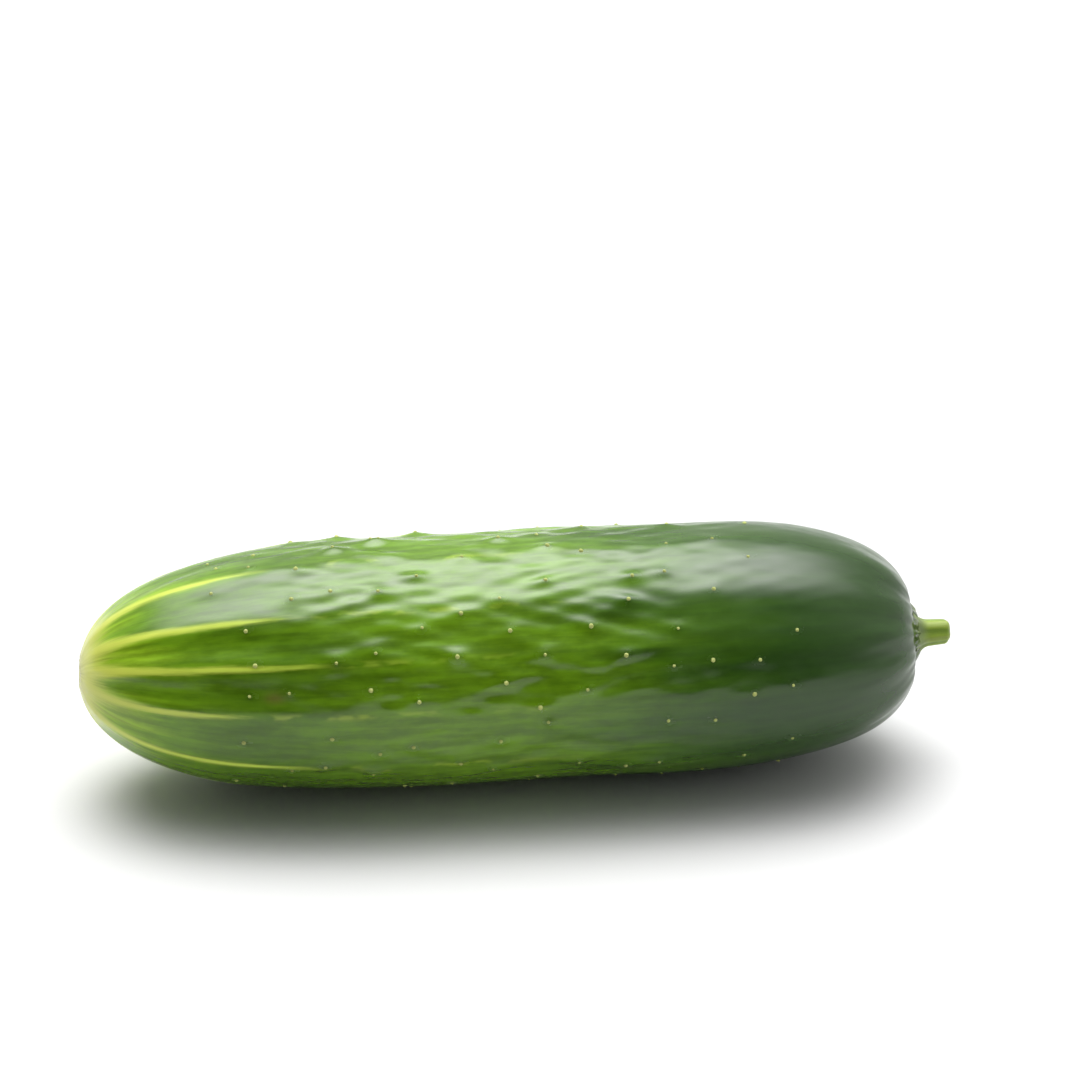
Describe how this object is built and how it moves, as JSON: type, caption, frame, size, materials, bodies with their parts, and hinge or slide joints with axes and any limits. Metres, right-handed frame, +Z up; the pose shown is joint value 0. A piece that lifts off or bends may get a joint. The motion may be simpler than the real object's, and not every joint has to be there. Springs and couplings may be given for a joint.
{
  "type": "cucumber",
  "caption": "Whole short cucumber lying on its side, blunt at both ends, with small spines on its waxy skin and the cut stub of its stem.",
  "frame": {"origin": "on the surface that the cucumber lies on, below the middle of its whole length", "axes": "+X along the length, from the blossom tip towards the stem; +Z up, out of the surface that it lies on"},
  "size_m": [0.1456, 0.0426, 0.042],
  "materials": {
    "fruit_skin": "waxy green skin, pale yellow-green at the blossom tip, with a soft gloss",
    "stem_flesh": "pale lime green plant flesh, satin, slightly browned on the cut"
  },
  "bodies": {
    "root": {"fruit": "fruit_skin", "stem": "stem_flesh"}
  },
  "joints": []
}
